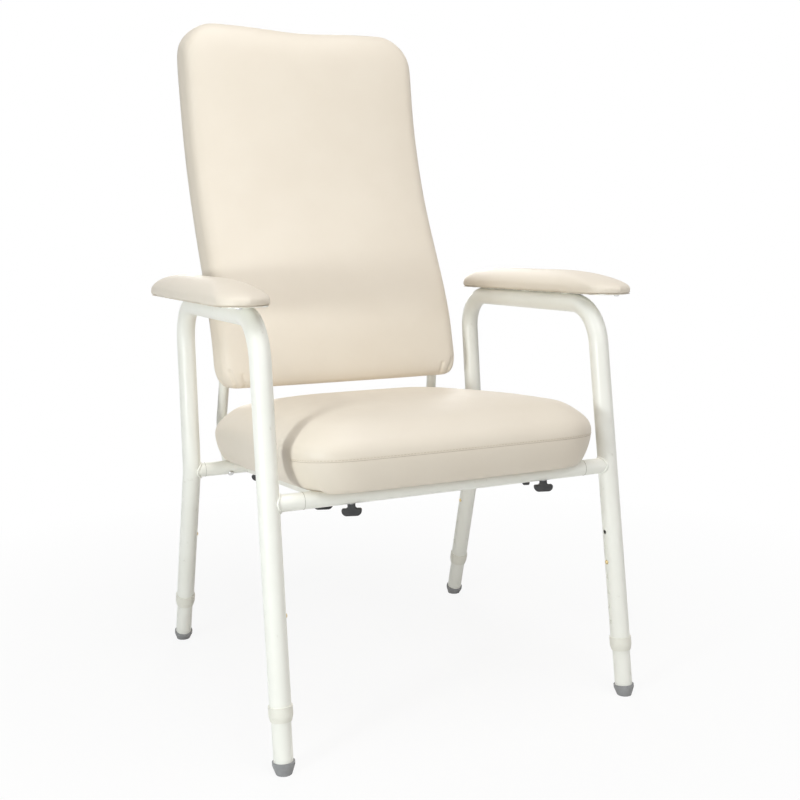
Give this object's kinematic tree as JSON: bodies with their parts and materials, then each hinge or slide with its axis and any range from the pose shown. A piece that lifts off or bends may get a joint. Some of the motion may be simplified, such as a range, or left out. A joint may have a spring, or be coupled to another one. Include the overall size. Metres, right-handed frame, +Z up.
{
  "type": "patient rest chair",
  "caption": "High-backed patient chair with an S-shaped padded back, thick seat, wide arm pads, a cream bent-tube frame and telescopic legs with snap buttons.",
  "frame": {"origin": "middle of the chair's footprint box, on the floor", "axes": "+Z up, the chair faces -Y, +X to the right seen from the front"},
  "size_m": [0.7138, 0.7498, 1.172],
  "materials": {
    "vinyl": "soft satin cream upholstery vinyl",
    "frame_paint": "cream white powder coat",
    "collar_plastic": "moulded satin",
    "rubber": "matte grey",
    "knob_plastic": "matte black moulded",
    "zinc": "bright zinc plate",
    "button_metal": "yellow passivated",
    "plywood": "bare plywood"
  },
  "bodies": {
    "chair": {"front_rail": "frame_paint", "rear_rail": "frame_paint", "back_frame": "frame_paint", "upright_plugs": "zinc", "upright_bolts": "zinc", "seat_board": "plywood", "seat_nuts": "zinc", "seat_cushion": "vinyl", "backrest_board": "plywood", "backrest_cushion": "vinyl", "backrest_rear_panel": "vinyl", "back_clips": "zinc", "back_clip_screws": "zinc", "arm_screws": "zinc", "side_frame_left": "frame_paint", "seat_bar_left": "frame_paint", "arm_strip_left": "frame_paint", "arm_board_left": "plywood", "arm_pad_left": "vinyl", "side_frame_right": "frame_paint", "seat_bar_right": "frame_paint", "arm_strip_right": "frame_paint", "arm_board_right": "plywood", "arm_pad_right": "vinyl", "leg_collar_front_left": "collar_plastic", "leg_collar_front_right": "collar_plastic", "leg_collar_rear_left": "collar_plastic", "leg_collar_rear_right": "collar_plastic"},
    "leg_front_left": {"leg_extension_front_left": "frame_paint", "foot_tip_front_left": "rubber"},
    "button_front_left": {"snap_button_front_left": "button_metal", "button_spring_front_left": "zinc"},
    "leg_front_right": {"leg_extension_front_right": "frame_paint", "foot_tip_front_right": "rubber"},
    "button_front_right": {"snap_button_front_right": "button_metal", "button_spring_front_right": "zinc"},
    "leg_rear_left": {"leg_extension_rear_left": "frame_paint", "foot_tip_rear_left": "rubber"},
    "button_rear_left": {"snap_button_rear_left": "button_metal", "button_spring_rear_left": "zinc"},
    "leg_rear_right": {"leg_extension_rear_right": "frame_paint", "foot_tip_rear_right": "rubber"},
    "button_rear_right": {"snap_button_rear_right": "button_metal", "button_spring_rear_right": "zinc"},
    "knob_front_left": {"knob_front_left": "knob_plastic", "knob_stud_front_left": "zinc"},
    "knob_middle_left": {"knob_middle_left": "knob_plastic", "knob_stud_middle_left": "zinc"},
    "knob_rear_left": {"knob_rear_left": "knob_plastic", "knob_stud_rear_left": "zinc"},
    "knob_front_right": {"knob_front_right": "knob_plastic", "knob_stud_front_right": "zinc"},
    "knob_middle_right": {"knob_middle_right": "knob_plastic", "knob_stud_middle_right": "zinc"},
    "knob_rear_right": {"knob_rear_right": "knob_plastic", "knob_stud_rear_right": "zinc"}
  },
  "joints": [
    {"name": "leg_slide_front_left", "type": "slide", "parent": "chair", "child": "leg_front_left", "axis": [-0.013, -0.1219, -0.9925], "range_m": [-0.05, 0.1]},
    {"name": "button_press_front_left", "type": "slide", "parent": "leg_front_left", "child": "button_front_left", "axis": [-0.9999, 0, 0.0131], "range_m": [0, 0.004], "stiffness_N_per_m": 900, "springref_m": -0.005},
    {"name": "leg_slide_front_right", "type": "slide", "parent": "chair", "child": "leg_front_right", "axis": [0.013, -0.1219, -0.9925], "range_m": [-0.05, 0.1]},
    {"name": "button_press_front_right", "type": "slide", "parent": "leg_front_right", "child": "button_front_right", "axis": [0.9999, 0, 0.0131], "range_m": [0, 0.004], "stiffness_N_per_m": 900, "springref_m": -0.005},
    {"name": "leg_slide_rear_left", "type": "slide", "parent": "chair", "child": "leg_rear_left", "axis": [-0.0125, 0.3007, -0.9536], "range_m": [-0.05, 0.1]},
    {"name": "button_press_rear_left", "type": "slide", "parent": "leg_rear_left", "child": "button_rear_left", "axis": [-0.9999, 0, 0.0131], "range_m": [0, 0.004], "stiffness_N_per_m": 900, "springref_m": -0.005},
    {"name": "leg_slide_rear_right", "type": "slide", "parent": "chair", "child": "leg_rear_right", "axis": [0.0125, 0.3007, -0.9536], "range_m": [-0.05, 0.1]},
    {"name": "button_press_rear_right", "type": "slide", "parent": "leg_rear_right", "child": "button_rear_right", "axis": [0.9999, 0, 0.0131], "range_m": [0, 0.004], "stiffness_N_per_m": 900, "springref_m": -0.005},
    {"name": "knob_turn_front_left", "type": "hinge", "parent": "chair", "child": "knob_front_left", "pos_m": [-0.1665, -0.3133, 0.3811], "axis": [0, 0.0693, 0.9976], "continuous": true},
    {"name": "knob_turn_middle_left", "type": "hinge", "parent": "chair", "child": "knob_middle_left", "pos_m": [-0.1815, -0.23559, 0.3757], "axis": [0, 0.0693, 0.9976], "continuous": true},
    {"name": "knob_turn_rear_left", "type": "hinge", "parent": "chair", "child": "knob_rear_left", "pos_m": [-0.1665, 0.13416, 0.35], "axis": [0, 0.0693, 0.9976], "continuous": true},
    {"name": "knob_turn_front_right", "type": "hinge", "parent": "chair", "child": "knob_front_right", "pos_m": [0.1665, -0.3133, 0.3811], "axis": [0, 0.0693, 0.9976], "continuous": true},
    {"name": "knob_turn_middle_right", "type": "hinge", "parent": "chair", "child": "knob_middle_right", "pos_m": [0.1815, -0.23559, 0.3757], "axis": [0, 0.0693, 0.9976], "continuous": true},
    {"name": "knob_turn_rear_right", "type": "hinge", "parent": "chair", "child": "knob_rear_right", "pos_m": [0.1665, 0.13416, 0.35], "axis": [0, 0.0693, 0.9976], "continuous": true}
  ]
}
